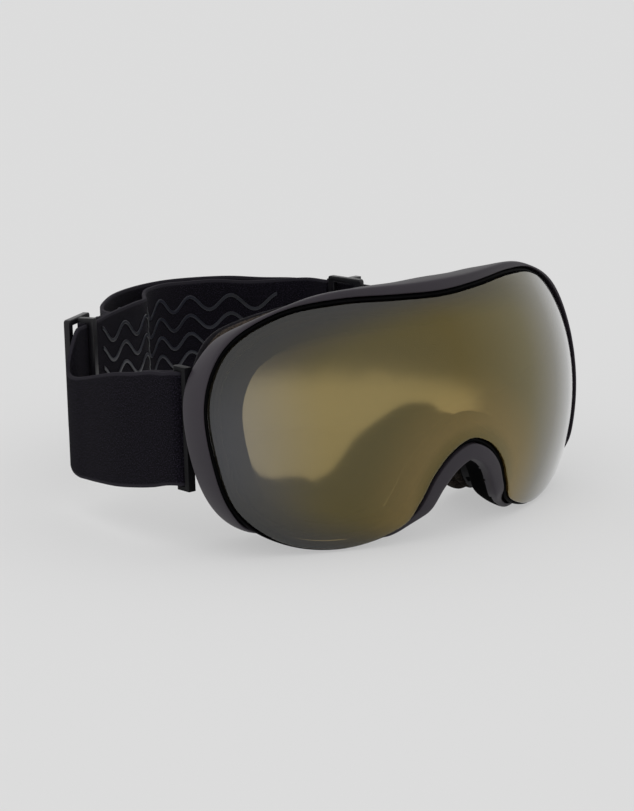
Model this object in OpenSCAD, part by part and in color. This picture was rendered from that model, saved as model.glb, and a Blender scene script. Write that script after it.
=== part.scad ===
// Snow goggles with a large one-piece double lens, a soft frame, layered face foam and a two-piece
// elastic strap with two sliders. Millimetres. +Z is up and the goggles look along -Y.
// The origin is the middle of the face opening, in the plane where the forehead foam meets the face.
// The wearer's right is on the -X side.

/* [Lens] */
// Width of the lens over both lobes
lens_w = 168; // [150:1:185]
// Height of the lens edge above the origin at the middle
lens_top = 42; // [38:0.5:46]
// How much the top of each lobe rises above the middle
lobe_rise = 1.2; // [0:0.1:3]
// Depth of the lobes below the origin
lens_bottom = 38.6; // [34:0.2:44]
// Half width of the nose arch at its widest
nose_half_w = 19.7; // [17:0.1:23]
// Depth of the nose arch's top below the origin
nose_top = 6.3; // [3:0.1:10]
// Distance from the face plane to the front of the lens
lens_front = 44; // [40:0.5:50]
// Radius of the lens's curve from side to side
lens_rh = 116.7; // [110:0.1:130]
// Radius of the lens's curve from top to bottom
lens_rv = 85; // [80:0.5:100]
// Thickness of the outer lens, measured front to back
outer_lens_t = 1.3; // [1:0.1:1.8]
// Thickness of the inner lens, measured front to back
inner_lens_t = 0.9; // [0.7:0.1:1.2]
// Thickness of the foam seal between the two lenses
spacer_t = 3.5; // [2.5:0.1:4.5]
// Width of the foam seal between the two lenses
spacer_w = 4; // [3:0.1:5]

/* [Frame] */
// Depth of the frame's wall at the sides
frame_depth = 11; // [9:0.5:13]
// How much deeper the wall is at the top middle
brow_extra = 1.5; // [0:0.1:2.5]
// How far the frame stands out past the lens at the sides
side_reveal = 1.9; // [1.8:0.1:3.5]
// How far the frame stands out past the lens at the top middle
brow_reveal = 5.3; // [4:0.1:7]
// How far the frame stands out past the lens over the nose
nose_reveal = 7; // [5.5:0.1:8]
// Wall of the frame
frame_wall = 2.2; // [1.8:0.1:2.8]
// Wall of the soft flange behind the frame
flange_wall = 2; // [1.6:0.1:2.4]
// Width at the top of the flange's rim, which carries the foam
rim_w = 11; // [9:0.5:13]

/* [Face foam] */
// Width of the face opening's outer edge
face_w = 138; // [130:1:150]
// Height of the face foam above the origin at the middle
face_top = 41; // [39:0.5:43]
// Depth of the face foam below the origin at the cheeks
face_bottom = 35.5; // [33:0.5:40]
// Radius of the face, seen from above
face_r = 105; // [90:1:120]
// How far the foam comes forward to clear the bridge of the nose
nose_relief = 13; // [10:0.5:15]
// Thickness of the firm foam on the flange
base_foam_t = 5; // [4:0.5:6]
// Thickness of the soft foam
soft_foam_t = 8.5; // [7:0.5:10]
// Thickness of the fleece that lies on the face
fleece_t = 2; // [1.5:0.1:3]

/* [Strap] */
// Width of the elastic webbing
strap_w = 40; // [38:0.5:42]
// Width of the webbing where the sliders gather it
gathered_w = 34; // [33:0.5:36]
// Thickness of the elastic webbing
strap_t = 1.4; // [1:0.1:1.6]
// Diameter of the bar that each strap loops round at the frame
bar_d = 3; // [2.5:0.1:3.4]
// Length of each slider along the strap
slider_l = 17.5; // [16.5:0.5:20]
// Thickness of each slider
slider_t = 2.2; // [1.8:0.1:2.6]
// Width of the bars of each slider
slider_bar = 3; // [2.5:0.1:3.2]
// Width of the silicone grip lines
grip_w = 1.3; // [0.8:0.1:1.8]
// Height of the silicone grip lines above the webbing
grip_t = 0.4; // [0.3:0.05:0.5]
// Wave length of the grip lines
grip_wave = 20; // [16:0.5:24]
// Height of the waves of the grip lines, from crest to trough
grip_swing = 5.6; // [4:0.5:8]
// Spacing between the grip lines
grip_gap = 7.3; // [6:0.1:8]
// Number of grip lines
grip_rows = 4; // [2:1:4]

/* [Hidden] */

// Running gap between pieces that lie against each other
gap = 0.25;
// Steps between two neighbouring key points of an outline
steps = 4;

// Curves

// A point on a Catmull-Rom curve between b and c
function spline(a, b, c, d, t) =
    0.5 * (2 * b + (c - a) * t + (2 * a - 5 * b + 4 * c - d) * t * t + (3 * b - a - 3 * c + d) * t * t * t);
function lerp(a, b, t) = a + (b - a) * t;
function clamp(t) = max(0, min(1, t));
function ease(t) = let (c = clamp(t)) c * c * (3 - 2 * c);
function unit(v) = v / norm(v);

// A closed curve through keys that run from the top middle down one side to the nose
function mirror_keys(half) = let (n = len(half))
    concat(half, [for (i = [n - 2:-1:1]) [-half[i][0], half[i][1]]]);
function closed_curve(keys) = let (n = len(keys))
    [for (i = [0:n - 1], j = [0:steps - 1])
        spline(keys[(i + n - 1) % n], keys[i], keys[(i + 1) % n], keys[(i + 2) % n], j / steps)];
// A value for each point of such a curve, from one value for each key of the half
function closed_values(half) = let (
        n = len(half),
        all = concat(half, [for (i = [n - 2:-1:1]) half[i]]),
        m = len(all)
    ) [for (i = [0:m - 1], j = [0:steps - 1]) lerp(all[i], all[(i + 1) % m], ease(j / steps))];
function normals(curve) = let (n = len(curve))
    [for (i = [0:n - 1]) let (t = unit(curve[(i + 1) % n] - curve[(i + n - 1) % n])) [-t[1], t[0]]];

// The lens's edge, seen from the front: x and z
half_w = lens_w / 2;
side_x = 0.988 * half_w;
lens_keys = [
    [0, lens_top], [0.23 * half_w, lens_top + 0.6 * lobe_rise], [0.46 * half_w, lens_top + lobe_rise],
    [0.687 * half_w, lens_top - 1.6], [0.885 * half_w, 0.735 * lens_top], [side_x, 0.345 * lens_top],
    [side_x, -0.13 * lens_bottom], [0.916 * half_w, -0.606 * lens_bottom],
    [0.739 * half_w, -0.912 * lens_bottom], [0.515 * half_w, -lens_bottom],
    [nose_half_w + 5.8, -0.87 * lens_bottom], [nose_half_w, -0.655 * lens_bottom],
    [0.787 * nose_half_w, -nose_top - 0.32 * (lens_bottom - nose_top)],
    [0.452 * nose_half_w, -nose_top - 0.105 * (lens_bottom - nose_top)], [0, -nose_top]
];
lens_edge = closed_curve(mirror_keys(lens_keys));
lens_n = normals(lens_edge);
stations = len(lens_edge);

// The lens is a piece of a ring-shaped surface whose axis is vertical
lens_axis_y = lens_rh - lens_front;
lens_mid_z = -4.5;
lens_ring_r = lens_rh - lens_rv;
function lens_y(x, z) = let (reach = lens_ring_r + sqrt(pow(lens_rv, 2) - pow(z - lens_mid_z, 2)))
    lens_axis_y - sqrt(reach * reach - x * x);

// The face opening's outer edge, with as many keys as the lens's edge
half_face = face_w / 2;
face_keys = [
    [0, face_top], [0.26 * half_face, face_top - 0.3], [0.52 * half_face, face_top - 2.6],
    [0.735 * half_face, face_top - 5.8], [0.9 * half_face, 0.725 * face_top],
    [0.98 * half_face, 0.41 * face_top],
    [half_face, -0.08 * face_bottom], [0.93 * half_face, -0.52 * face_bottom],
    [0.78 * half_face, -0.86 * face_bottom], [0.57 * half_face, -face_bottom],
    [nose_half_w + 8.5, -0.95 * face_bottom], [nose_half_w - 1.7, -0.72 * face_bottom],
    [nose_half_w - 6.7, -0.43 * face_bottom], [nose_half_w - 11.7, -nose_top - 2.6], [0, -nose_top + 2]
];
face_edge = closed_curve(mirror_keys(face_keys));
face_n = normals(face_edge);
// The width of the rim at each station: narrow at the sides and over the nose, wide under the eyes
rim = rim_w * closed_values([1, 1, 1, 0.95, 0.75, 0.6, 0.5, 0.65, 1.05, 1.3, 0.95, 0.7, 0.55, 0.5, 0.5]);
nose_spread = 16;
function face_y(x, z) = x * x / (2 * face_r)
    - nose_relief * exp(-pow(x / nose_spread, 2) - pow(max(0, z + nose_top - 2) / (nose_spread + 2), 2));
foam_stack = base_foam_t + soft_foam_t + fleece_t;

// A point near the lens's edge: u is outwards from the edge, w is back from the lens's front surface
function at_lens(i, u, w) = let (p = lens_edge[i] + u * lens_n[i], q = u < 0 ? p : lens_edge[i])
    [p[0], lens_y(q[0], q[1]) + w, p[1]];
// A point near the face's edge: u is outwards from the edge, w is forward from the face
function at_face(i, u, w) = let (p = face_edge[i] + u * face_n[i]) [p[0], face_y(p[0], p[1]) - w, p[1]];

// A ring or an open rib, skinned through sections that each have the same number of points
module skin(sections, closed = true) {
    n = len(sections);
    m = len(sections[0]);
    runs = closed ? n : n - 1;
    sides = [for (i = [0:runs - 1], j = [0:m - 1])
        let (a = i * m + j, b = i * m + (j + 1) % m,
             c = (i + 1) % n * m + (j + 1) % m, d = (i + 1) % n * m + j)
        each [[a, b, c], [a, c, d]]];
    start = [for (j = [1:m - 2]) [0, j + 1, j]];
    end = [for (j = [1:m - 2]) [(n - 1) * m, (n - 1) * m + j, (n - 1) * m + j + 1]];
    polyhedron([for (s = sections) each s], closed ? sides : concat(sides, start, end));
}

// Lenses

// The edge's point furthest to the side, where the top of the edge turns into its bottom
lens_tip = round(5.5 * steps);
// How far down from the top edge each row of a lens's surface lies
lens_rows = [0, 0.065, 0.125, 0.3, 0.5, 0.7, 0.875, 0.935, 1];

// A lens, in upright columns from one side to the other. Its edge is moved inwards by each station's inset
module lens_sheet(inset, front, thick) {
    edge = [for (i = [0:stations - 1]) lens_edge[i] - inset[i] * lens_n[i]];
    top = [for (i = [-lens_tip:lens_tip]) edge[(i + stations) % stations]];
    low = [for (i = [lens_tip + 1:stations - lens_tip - 1]) edge[i]];
    tips = [edge[lens_tip], edge[stations - lens_tip]];
    n = len(low);
    m = len(lens_rows);
    function place(p, side) = [p[0], lens_y(p[0], p[1]) + front + side * thick, p[1]];
    function at(c, r, side) = c == 0 ? side : c > n ? 2 + side : 4 + 2 * ((c - 1) * m + r) + side;
    points = concat([for (p = tips, side = [0, 1]) place(p, side)],
        [for (p = low, t = lens_rows, side = [0, 1]) place([p[0], lerp(lookup(p[0], top), p[1], t)], side)]);
    faces = [for (c = [0:n], r = [0:m - 2]) each [
        if (c > 0) [at(c, r, 0), at(c, r + 1, 0), at(c + 1, r + 1, 0)],
        if (c < n) [at(c, r, 0), at(c + 1, r + 1, 0), at(c + 1, r, 0)],
        if (c > 0) [at(c, r, 1), at(c + 1, r + 1, 1), at(c, r + 1, 1)],
        if (c < n) [at(c, r, 1), at(c + 1, r, 1), at(c + 1, r + 1, 1)]
    ]];
    rims = [for (c = [0:n]) each [
        [at(c, 0, 0), at(c + 1, 0, 0), at(c + 1, 0, 1)], [at(c, 0, 0), at(c + 1, 0, 1), at(c, 0, 1)],
        [at(c, m - 1, 0), at(c + 1, m - 1, 1), at(c + 1, m - 1, 0)],
        [at(c, m - 1, 0), at(c, m - 1, 1), at(c + 1, m - 1, 1)]
    ]];
    polyhedron(points, concat(faces, rims));
}

// The inner lens and the foam seal lie this far inside the outer lens's edge
inner_inset = 5.2;
spacer_front = outer_lens_t + 1.4 * gap;
inner_front = spacer_front + spacer_t + 1.4 * gap;
seat_front = inner_front + inner_lens_t + gap;

module lens_outer() {
    color("darkkhaki", 0.6)
        lens_sheet([for (share = wrap) lerp(0.15, trim_in + gap, share)], 0, outer_lens_t);
}

module lens_inner() {
    color("lightgrey", 0.4)
        lens_sheet([for (share = wrap) inner_inset], inner_front, inner_lens_t);
}

module lens_spacer() {
    out = -inner_inset;
    in = -inner_inset - spacer_w;
    color("black")
        skin([for (i = [0:stations - 1]) [
            at_lens(i, out, spacer_front), at_lens(i, out, spacer_front + spacer_t),
            at_lens(i, in, spacer_front + spacer_t), at_lens(i, in, spacer_front)
        ]]);
}

// The dark rubber trim that closes the gap between the lens and the frame: how far it shows on each side of
// the edge's line, and how far its heel reaches in under the lens
gasket_out = 0.9;
trim_in = 0.4;
gasket_in = 2.8;
gasket_back = outer_lens_t + 0.9;

module lens_gasket() {
    heel = outer_lens_t + gap;
    color("black")
        skin([for (i = [0:stations - 1])
            let (lip = lerp(0.1, -trim_in, wrap[i]), out = lerp(0.5, gasket_out, wrap[i])) [
                at_lens(i, lip, 0.15), at_lens(i, out, 0.2),
                at_lens(i, out, gasket_back), at_lens(i, -gasket_in, gasket_back),
                at_lens(i, -gasket_in, heel), at_lens(i, lip, heel)
            ]]);
}

// Frame

// The reveal at each key: at the bottom of the lobes the frame hides behind the lens
reveal = closed_values([
    brow_reveal, lerp(brow_reveal, side_reveal, 0.2), lerp(brow_reveal, side_reveal, 0.4), side_reveal + 0.3,
    side_reveal + 0.8, side_reveal + 0.3, side_reveal, side_reveal, 0.5, 0.5,
    nose_reveal - 4, nose_reveal - 0.6, nose_reveal, nose_reveal, nose_reveal
]);
// 1 where the frame wraps the lens's edge, 0 where it is tucked behind the lens
wrap = closed_values([1, 1, 1, 1, 1, 1, 1, 1, 0, 0, 0.7, 1, 1, 1, 1]);
brow_depth = closed_values([0.9, 0.6, 0, -1.2, -0.6, 0, 0, 0, -1.3, -1.3, 0, 0.7, 0.5, 0.3, 0.3]);
// How far the wall leans in from its front to its back
draft = closed_values([1.2, 1.7, 3, 4.2, 2.4, 0.4, 0, 0.8, 0, 0, 1, 0.5, 0, 0, 0]);
function depth(i) = frame_depth + brow_extra * brow_depth[i];

tuck_u = -2.6;
tuck_w = gasket_back + 1;
seat_in = -inner_inset - 2.4;
seat_t = 1.6;
lip_u = gasket_out + gap;
// Shares of wrap: at the first the wall stands wholly outside the edge, from the second it comes forward
out_by = 0.6;
up_from = 0.7;

// The frame's section at a station: a front lip round the trim, an outer wall and a seat behind the lenses
function frame_section(i) = let (
        back = depth(i),
        out = clamp(wrap[i] / out_by),
        up = ease((wrap[i] - up_from) / (1 - up_from)),
        face = lerp(tuck_u, max(reveal[i], lip_u + 0.9), out),
        lip = lerp(0.3 - inner_inset, lip_u, out),
        front = lerp(tuck_w, 0.3, up),
        inside = face + 0.3 - frame_wall - draft[i]
    ) [
        at_lens(i, lip, front), at_lens(i, lip + 0.3, front - 0.4 * up),
        at_lens(i, lerp(lip, face, 0.6), front - 0.5 * up), at_lens(i, face - 0.35, front - 0.35 * up),
        at_lens(i, face, front + 0.7), at_lens(i, face + 0.55 * out - 0.5 * draft[i], 0.5 * back),
        at_lens(i, face + 0.35 * out - draft[i], back - 0.5),
        at_lens(i, face - 0.2 - draft[i], back), at_lens(i, inside, back),
        at_lens(i, inside, seat_front + seat_t), at_lens(i, seat_in, seat_front + seat_t),
        at_lens(i, seat_in, seat_front), at_lens(i, lip, seat_front)
    ];

module frame() {
    color([0.32, 0.29, 0.32])
        skin([for (i = [0:stations - 1]) frame_section(i)]);
}

// Flange: the soft rear part that spreads from the frame to the face

flange_front = seat_front + seat_t + gap;
function flange_section(i) = [
    at_lens(i, seat_in + 2.3, flange_front), at_face(i, -1.2, foam_stack + gap + flange_wall),
    at_face(i, 0, foam_stack + gap + 0.4 * flange_wall), at_face(i, 0, foam_stack + gap),
    at_face(i, -rim[i], foam_stack + gap), at_face(i, -rim[i], foam_stack + gap + flange_wall),
    at_face(i, -3.4, foam_stack + gap + flange_wall), at_lens(i, seat_in, flange_front)
];

module flange() {
    color([0.12, 0.12, 0.13])
        skin([for (i = [0:stations - 1]) flange_section(i)]);
}

// Vent foam: thin strips on the flange's inner side, over the air slots
function in_flange(i, t, d) = lerp(at_lens(i, seat_in, flange_front),
    at_face(i, -3.4, foam_stack + gap + flange_wall), t) - d * [lens_n[i][0], 0, lens_n[i][1]];

module vent_strip(first, last) {
    vent_in = 2.6;
    color([0.2, 0.2, 0.22])
        skin([for (k = [first:last]) let (i = (k + stations) % stations) [
            in_flange(i, 0.15, 1.5 * gap), in_flange(i, 0.6, 1.5 * gap),
            in_flange(i, 0.6, vent_in), in_flange(i, 0.15, vent_in)
        ]], false);
}

module vent_foam_top() {
    vent_strip(-3 * steps, 3 * steps);
}

module vent_foam_bottom_left() {
    vent_strip(8 * steps, 10 * steps);
}

module vent_foam_bottom_right() {
    vent_strip(stations - 10 * steps, stations - 8 * steps);
}

// Face foam

// A ring of foam that stands a little proud of the rim and has a rounded outer and inner edge
module foam_ring(back, front, proud, bulge) {
    mid = (back + front) / 2;
    skin([for (i = [0:stations - 1]) let (in = -rim[i] - proud) [
        at_face(i, in, back), at_face(i, in - bulge, mid), at_face(i, in, front),
        at_face(i, proud, front), at_face(i, proud + bulge, mid), at_face(i, proud, back)
    ]]);
}

module foam_base() {
    color([0.25, 0.22, 0.2])
        skin([for (i = [0:stations - 1]) [
            at_face(i, 0.3 - rim[i], foam_stack - base_foam_t), at_face(i, 0.3 - rim[i], foam_stack),
            at_face(i, 0.3, foam_stack), at_face(i, 0.3, foam_stack - base_foam_t)
        ]]);
}

module foam_soft() {
    color([0.3, 0.26, 0.24])
        foam_ring(fleece_t, fleece_t + soft_foam_t - 1.6 * gap, 0.6, 0.8);
}

module foam_fleece() {
    color([0.18, 0.17, 0.18])
        foam_ring(0, fleece_t - gap, 0.3, 0.5);
}

// Strap

// Each route lists x, y, the height of the webbing's middle and its width, along the middle of its thickness.
// The right strap starts as a sewn end at the right clip, loops round the clip's bar, runs back to the right
// slider, passes inside it and lies against the head as far as the left slider.
strap_mid_z = 3;
loop_r = bar_d / 2 + gap + strap_t / 2;
// The inner face and the rear edge of the frame's wall beside the clips
wall_in = side_x + side_reveal + 0.3 - frame_wall;
wall_back = lens_y(side_x, strap_mid_z) + frame_depth;
clip_x = side_x - 1.5;
clip_y = wall_back + 8.9;

slider_right_at = [-0.762 * clip_x, clip_y + 78.4];
slider_right_turn = 30;
slider_left_at = [0.945 * clip_x, clip_y + 94.2];
slider_left_turn = 94.6;
slider_z = 8;
slider_left_z = 2.6;

// A place beside a slider: s is along the strap, away from the frame, and n is outwards from the head
function by_right(s, n) = let (a = slider_right_turn)
    slider_right_at + s * [cos(a), sin(a)] + n * [-sin(a), cos(a)];
function by_left(s, n) = let (a = slider_left_turn)
    slider_left_at + s * [cos(a), sin(a)] + n * [sin(a), -cos(a)];
// A stop on a route: full is 0 where the webbing is gathered and 1 where it lies at its whole width
function stop(xy, z, full = 0) = [xy[0], xy[1], z, lerp(gathered_w, strap_w, full)];
// A stop on the way round the head: across is a share of the way out to the clips, back starts at the clips
function way(across, back, z, full = 1) = stop([across * clip_x, clip_y + back], z, full);

// The plate of each slider leaves room for the strap and for the sewn end that loops round its rear bar
plate_n = strap_t / 2 + gap + strap_t + 2 * gap;
// Where the other strap ends behind a slider: how far behind its middle, and how far beside the strap in it
end_s = slider_l / 2 + strap_t + 2 * gap + 1.6;
end_n = strap_t + gap + 0.15;
// Length of the sewn flap behind a slider
end_flap = 7;

// How much each strap falls for each millimetre behind its clip
fall_right = 0.175;
fall_left = 0.01;
// The webbing is pulled in a little where it loops round a clip's bar
clip_full = 0.8;
// The loop round a clip's bar on the side given by the sign of side, from the sewn end to the outside
function clip_loop(side, fall) = let (
        tail = [[clip_x + 0.5, 19, 1], [clip_x + 0.5, 13, 1], [clip_x - 0.7, 7, clip_full]],
        bend = [for (a = [0:30:180]) [clip_x - loop_r * cos(a), -loop_r * sin(a), clip_full]],
        outside = [[clip_x + loop_r + 0.2, 5, clip_full], [clip_x + loop_r, 12, 1]]
    ) [for (p = concat(tail, bend, outside))
        stop([side * p[0], clip_y + p[1]], strap_mid_z - fall * max(0, p[1]), p[2])];

right_route = concat(
    clip_loop(-1, fall_right),
    [way(-1.0234, 22, -1.1), way(-1.0111, 35, -3.2), way(-0.9915, 47, -5.2, 0.75),
     way(-0.9719, 57, -6.8, 0.5), way(-0.9596, 64, -7.6, 0.33), way(-0.9449, 69.4, -6.8, 0.17)],
    [stop(by_right(-15.1, 1.1), -3.2), stop(by_right(-12, 0.2), 4.2)],
    [stop(by_right(-8.5, 0), slider_z - 0.2)],
    [for (s = [-4, 1, 6, 11]) stop(by_right(s, 0), slider_z)],
    [stop(by_right(18, 0), 7.4, 0.33), stop(by_right(28.8, -0.4), 6.6, 0.67)],
    [way(-0.319, 98.5, 5.6), way(-0.2012, 105.5, 4.8), way(-0.1104, 116, 4.2), way(0, 126, 3.8),
     way(0.1595, 133, 3.2), way(0.3313, 136.8, 1.8), way(0.5154, 136.6, 0.7),
     way(0.6749, 132.6, -0.6, 0.83), way(0.7927, 126.4, -0.4, 0.8)],
    [stop(by_left(25.5, -2.9), 1.2, 0.4)],
    [for (s = [8.5, 4, 0]) stop(by_left(end_s + s, -end_n), slider_left_z)]
);
left_route = concat(
    clip_loop(1, fall_left),
    [way(1.0234, 22, 2.8), way(1.0136, 32, 4.4), way(1.0026, 42, 5.6, 0.8), way(0.9903, 51.5, 5, 0.6)],
    [stop(by_left(-30, 0), 3.8, 0.4), stop(by_left(-22, 0), 3, 0.15)],
    [for (s = [-12, -2, 8, 11]) stop(by_left(s, 0), slider_left_z)],
    [stop(by_left(16.5, 0), 0.4, 0.55), stop(by_left(22, 0), -1.2, 1)],
    [way(0.8811, 127, -1.4), way(0.7854, 135.2, -0.7, 0.83), way(0.6381, 141.4, 0.2),
     way(0.4418, 144.4, 1.3), way(0.2454, 143.6, 2.2), way(0.0491, 140, 2.4), way(-0.1473, 131, 2.8),
     way(-0.319, 118.5, 3.3, 0.83), way(-0.4295, 107, 4.8, 0.5)],
    [stop(by_right(29, 5.6), 6.6, 0.17), stop(by_right(25, 2.4), 7.7)],
    [for (s = [8.5, 4, 0]) stop(by_right(end_s + s, end_n), slider_z)]
);
// The stops of each route between which the grip lines lie
right_grips = [24, 35];
left_grips = [25, 33];

// A smooth run through a route: each point has x, y, height and width
function open_curve(route, parts) = let (n = len(route))
    concat([for (i = [0:n - 2], j = [0:parts - 1])
        spline(route[max(i - 1, 0)], route[i], route[i + 1], route[min(i + 2, n - 1)], j / parts)],
        [route[n - 1]]);
function flat(p) = [p[0], p[1]];
function side_of(run, i) = let (
        t = unit(flat(run[min(i + 1, len(run) - 1)]) - flat(run[max(i - 1, 0)]))
    ) [-t[1], t[0]];
function off(run, i, n, z) = let (p = run[i], m = side_of(run, i)) [p[0] + n * m[0], p[1] + n * m[1], z];

// Webbing: a flat band that stands on its edge, with rounded selvedges
function band_section(run, i, t) = let (h = run[i][3] / 2, z = run[i][2], r = t / 2)
    [for (c = [[-r, h - r], [-0.6 * r, h], [0.6 * r, h], [r, h - r],
               [r, -h + r], [0.6 * r, -h], [-0.6 * r, -h], [-r, -h + r]])
        off(run, i, c[0], z + c[1])];

module band(route, parts) {
    run = open_curve(route, parts);
    skin([for (i = [0:len(run) - 1]) band_section(run, i, strap_t)], false);
}

webbing = [0.12, 0.11, 0.13];
// Parts between two neighbouring points of a strap's route
strap_parts = 2;

module strap_right() {
    color(webbing)
        band(right_route, strap_parts);
}

module strap_left() {
    color(webbing)
        band(left_route, strap_parts);
}

// Strap clips: a moulded bar behind the frame, on a plate that sits inside the frame's wall
arm_t = 1.4;
spine_front = wall_back + 3.3;
spine_back = clip_y - loop_r - strap_t / 2 - gap;
plate_front = wall_back - 1.7;
plate_t = 2.2;
plate_h = 16;

module strap_clip(side) {
    bar_h = lerp(gathered_w, strap_w, clip_full) + 2 * gap + 2 * arm_t;
    plate_x = wall_in - 0.8 - plate_t / 2 - clip_x;
    color([0.15, 0.15, 0.16])
        translate([side * clip_x, 0, strap_mid_z]) {
            translate([0, clip_y, -bar_h / 2])
                cylinder(bar_h, d = bar_d, $fn = 32);
            for (z = [-1, 1])
                translate([0, (clip_y + spine_front) / 2, z * (bar_h - arm_t) / 2])
                    cube([bar_d - 0.2, clip_y - spine_front, arm_t], center = true);
            translate([0, (spine_front + spine_back) / 2, 0])
                cube([bar_d - 0.2, spine_back - spine_front, bar_h - 0.2], center = true);
            translate([side * plate_x, (plate_front + spine_back - 0.2) / 2, 0])
                cube([plate_t, spine_back - 0.2 - plate_front, plate_h], center = true);
        }
}

module strap_clip_right() {
    strap_clip(-1);
}

module strap_clip_left() {
    strap_clip(1);
}

// Sliders: a flat ladder with two slots, whose middle bar is stepped to the other side of the strap
slot_h = gathered_w + 1;
rail = 2.2;
slider_h = slot_h + 2 * rail;
bar_face = strap_t / 2 + gap;

// The slider's plate in its own frame: x along the strap, y away from the middle bar, z up
module slider() {
    leg_h = rail - 0.4;
    leg_y = plate_n + 2 * slider_t + bar_face;
    translate([0, plate_n + slider_t, 0])
        rotate([90, 0, 0])
            linear_extrude(slider_t)
                difference() {
                    union() {
                        square([slider_l - rail, slider_h], center = true);
                        square([slider_l, slider_h - rail], center = true);
                        for (x = [-1, 1], y = [-1, 1])
                            translate([x * (slider_l - rail) / 2, y * (slider_h - rail) / 2])
                                circle(rail / 2, $fn = 32);
                    }
                    square([slider_l - 2 * slider_bar, slot_h], center = true);
                }
    translate([0, -bar_face - slider_t / 2, 0])
        cube([slider_bar, slider_t, slot_h + 2 * leg_h], center = true);
    for (z = [-1, 1])
        translate([0, plate_n + slider_t - leg_y / 2, z * (slot_h + leg_h) / 2])
            cube([slider_bar, leg_y, leg_h], center = true);
}

module at_slider_right() {
    translate([slider_right_at[0], slider_right_at[1], slider_z])
        rotate([0, 0, slider_right_turn])
            children();
}

module at_slider_left() {
    translate([slider_left_at[0], slider_left_at[1], slider_left_z])
        rotate([0, 0, slider_left_turn])
            children();
}

module slider_right() {
    color([0.16, 0.16, 0.17])
        at_slider_right()
            slider();
}

module slider_left() {
    color([0.16, 0.16, 0.17])
        at_slider_left()
            slider();
}

// Sewn ends: the webbing loops round a slider's rear bar and is stitched down on itself
module sewn_end() {
    h = gathered_w - 1;
    rear = slider_l / 2;
    in_x = rear - slider_bar - gap;
    in_y = plate_n - gap;
    ring_x = slider_bar + 2 * gap;
    ring_y = slider_t + 2 * gap;
    flap_y = end_n + strap_t + gap;
    translate([0, 0, -h / 2])
        linear_extrude(h) {
            difference() {
                translate([in_x - strap_t, in_y - strap_t])
                    square([ring_x + 2 * strap_t, ring_y + 2 * strap_t]);
                translate([in_x, in_y])
                    square([ring_x, ring_y]);
            }
            translate([in_x + ring_x, flap_y - strap_t / 2])
                square([end_flap + strap_t, strap_t]);
        }
}

module strap_end_left() {
    color(webbing)
        at_slider_right()
            sewn_end();
}

module strap_end_right() {
    color(webbing)
        at_slider_left()
            sewn_end();
}

// Stitching: a tack of upright threads
thread = 0.5;
stitch_l = 2.2;
stitch_gap = 1.1;

module tack(h, rows) {
    pitch = stitch_l + stitch_gap;
    count = floor(h / pitch);
    for (r = [0:rows - 1], k = [0:count - 1])
        translate([r * 2.4, 0, (k - (count - 1) / 2) * pitch])
            cube([thread, thread, stitch_l], center = true);
}

module clip_tack(side, fall) {
    back = 14.6;
    color([0.3, 0.3, 0.33])
        translate([side * (clip_x + 0.4 - (strap_t + thread) / 2), clip_y + back, strap_mid_z - fall * back])
            rotate([0, 0, 90])
                tack(strap_w - 5, 2);
}

module stitching_right() {
    clip_tack(-1, fall_right);
}

module stitching_left() {
    clip_tack(1, fall_left);
}

module end_tack() {
    color([0.3, 0.3, 0.33])
        translate([slider_l / 2 + end_flap - 2.6, end_n + 1.5 * strap_t + gap + thread / 2 + 0.1, 0])
            tack(gathered_w - 5, 2);
}

module end_stitching_right() {
    at_slider_left()
        end_tack();
}

module end_stitching_left() {
    at_slider_right()
        end_tack();
}

// Grip lines: wavy ribs of silicone on the side of the webbing that lies against the head
function lengths(run) = [for (i = 0, s = 0; i < len(run); i = i + 1,
    s = i < len(run) ? s + norm(flat(run[i]) - flat(run[i - 1])) : s) s];

module grip_lines(route, stops, face) {
    run = open_curve(route, strap_parts);
    along = lengths(run);
    foot = face * (strap_t / 2 + 0.03);
    crest = foot + face * grip_t;
    splits = 2;
    color([0.3, 0.31, 0.36])
        for (row = [0:grip_rows - 1])
            skin([for (i = [stops[0] * strap_parts:stops[1] * strap_parts - 1], j = [0:splits - 1])
                let (t = j / splits, turn = 360 * lerp(along[i], along[i + 1], t) / grip_wave,
                     middle = lerp(run[i][2], run[i + 1][2], t) + (row - (grip_rows - 1) / 2) * grip_gap,
                     z = middle + grip_swing / 2 * sin(turn),
                     slope = cos(turn) * grip_swing * PI / grip_wave,
                     h = face * grip_w / 2 * sqrt(1 + slope * slope))
                [for (c = [[foot, h], [crest, 0.6 * h], [crest, -0.6 * h], [foot, -h]])
                    lerp(off(run, i, c[0], z + c[1]), off(run, i + 1, c[0], z + c[1]), t)]
            ], false);
}

module grip_lines_right() {
    grip_lines(right_route, right_grips, -1);
}

module grip_lines_left() {
    grip_lines(left_route, left_grips, 1);
}

frame();
flange();
lens_outer();
lens_inner();
lens_spacer();
lens_gasket();
vent_foam_top();
vent_foam_bottom_right();
vent_foam_bottom_left();
foam_base();
foam_soft();
foam_fleece();
strap_clip_right();
strap_clip_left();
strap_right();
strap_left();
strap_end_right();
strap_end_left();
stitching_right();
stitching_left();
end_stitching_right();
end_stitching_left();
grip_lines_right();
grip_lines_left();
slider_right();
slider_left();
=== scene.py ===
# %% [markdown]
# # Snow goggles
# These goggles have one wide curved double lens, a soft-touch frame, a dark flange with three layers
# of face foam, and an elastic strap in two lengths that meet at two sliders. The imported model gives
# every piece its size and place. This lesson gives each piece its real form and finish.

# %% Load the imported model
import math

import bpy
import numpy as np
from mathutils import Matrix, Vector


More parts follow.
